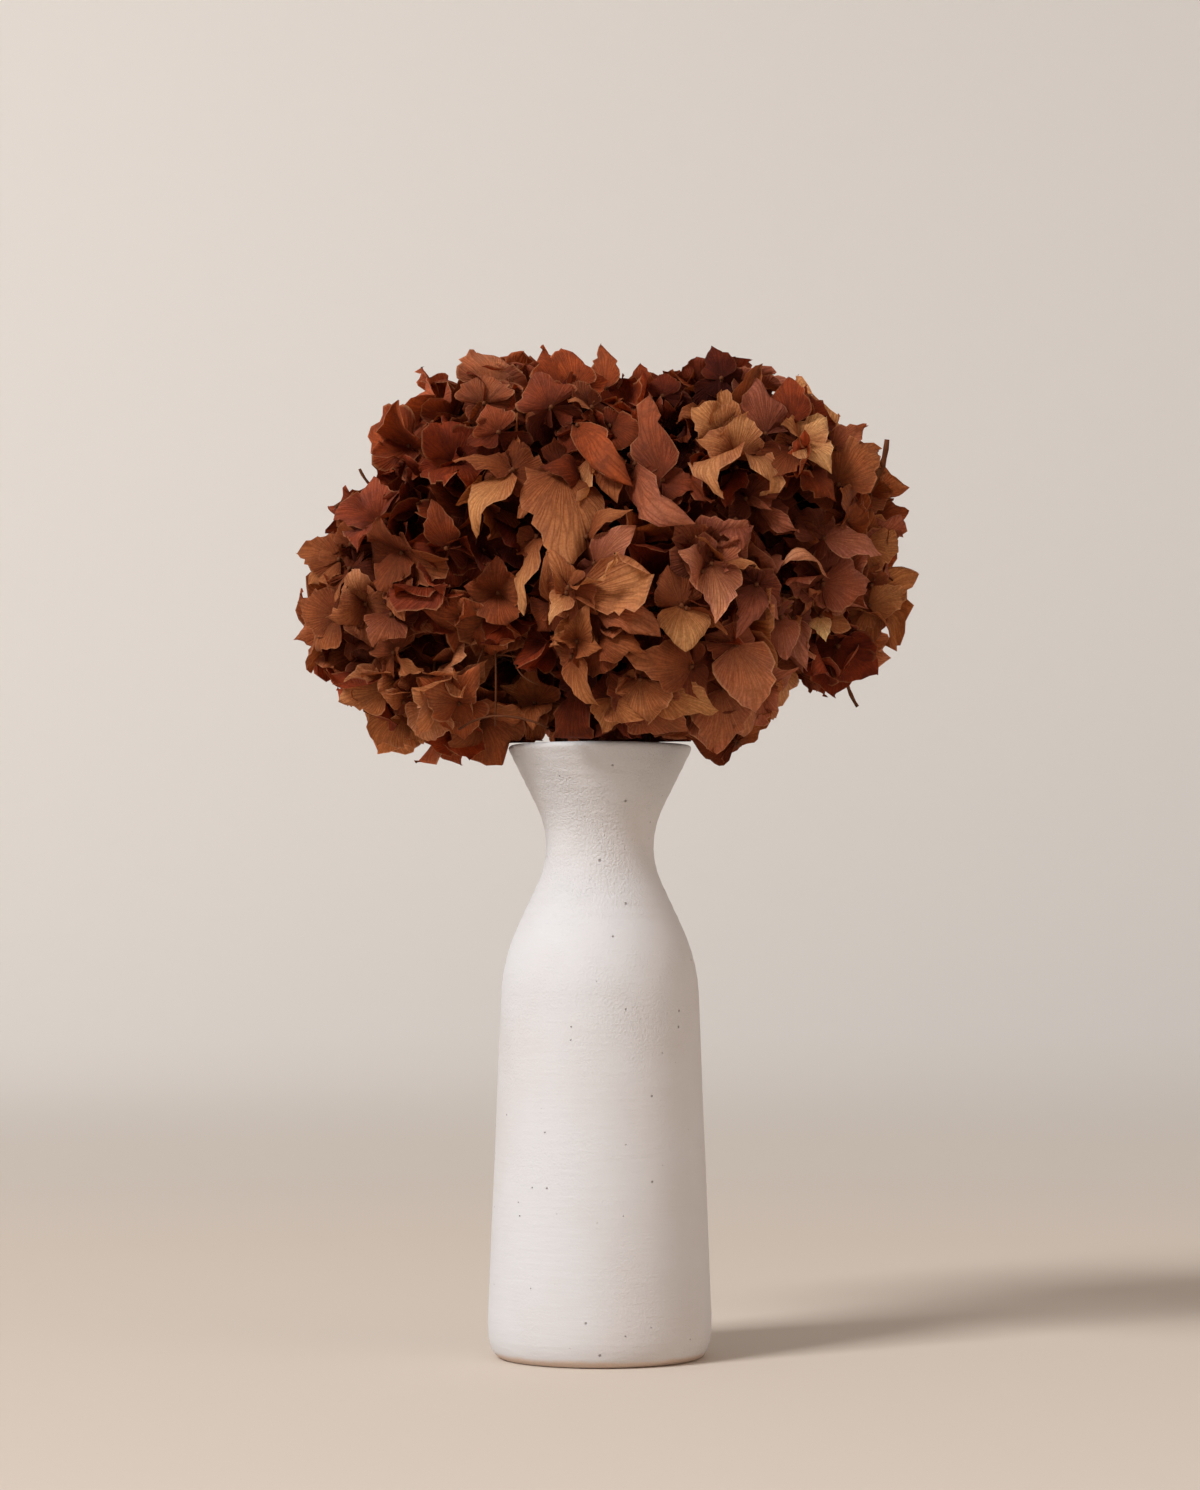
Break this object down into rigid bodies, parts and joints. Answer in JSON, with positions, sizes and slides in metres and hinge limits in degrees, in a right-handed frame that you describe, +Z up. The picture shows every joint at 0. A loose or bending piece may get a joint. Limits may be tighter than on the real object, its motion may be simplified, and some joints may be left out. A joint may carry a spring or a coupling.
{
  "type": "dried hydrangeas in a vase",
  "caption": "Dense dome of dried rust-brown hydrangea heads on woody stems, standing in a matte off-white stoneware bottle vase with a waisted neck and a flared mouth.",
  "frame": {"origin": "centre of the vase's foot, on the surface it stands on", "axes": "+Z up along the vase's axis. The side in the picture faces -Y, and +X is to its right."},
  "size_m": [0.2649, 0.2176, 0.4191],
  "materials": {
    "stoneware": "matte",
    "woody_stem": "dry, ridged bark",
    "dried_sepals": "dry, veined and crisp"
  },
  "bodies": {
    "root": {"vase": "stoneware", "stem_lower_right": "woody_stem", "stem_back": "woody_stem", "stem_lower_left": "woody_stem", "stem_upper_left": "woody_stem", "stem_front": "woody_stem", "stem_upper_right": "woody_stem", "head_lower_right": "dried_sepals", "head_back": "dried_sepals", "head_lower_left": "dried_sepals", "head_upper_left": "dried_sepals", "head_front": "dried_sepals", "head_upper_right": "dried_sepals"}
  },
  "joints": []
}
